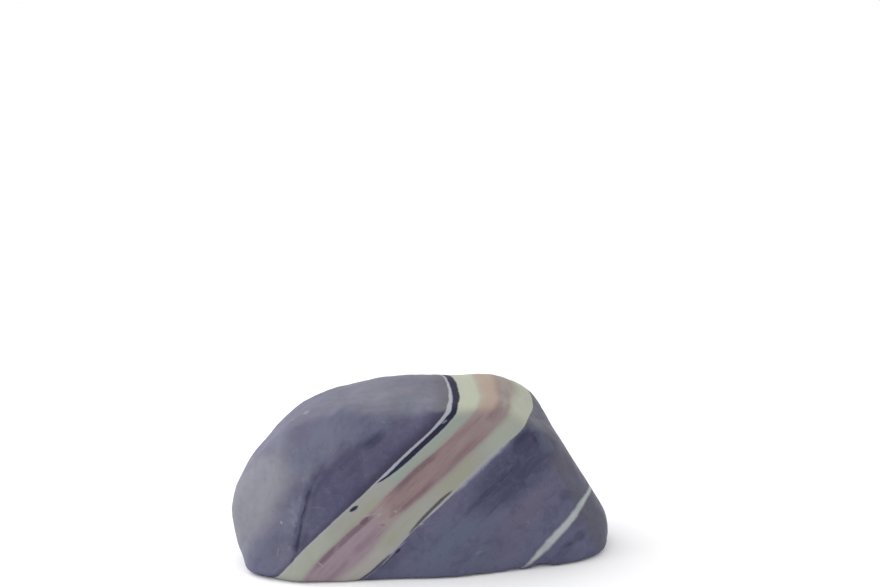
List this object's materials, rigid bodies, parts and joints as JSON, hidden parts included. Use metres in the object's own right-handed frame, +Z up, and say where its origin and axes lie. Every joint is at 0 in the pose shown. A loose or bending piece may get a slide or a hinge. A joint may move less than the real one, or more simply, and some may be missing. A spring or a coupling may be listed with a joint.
{
  "type": "aquascaping rock",
  "caption": "Low, water-worn banded stone with soft broken planes and a flat underside, for hardscape in an aquarium or terrarium.",
  "frame": {"origin": "on the flat underside, below the middle of the bounding box", "axes": "+X along the stone's long side, -Y towards the broad front face that the picture shows, +Z up"},
  "size_m": [0.183, 0.0794, 0.0866],
  "materials": {
    "stone": "satin"
  },
  "bodies": {
    "root": {"stone": "stone"}
  },
  "joints": []
}
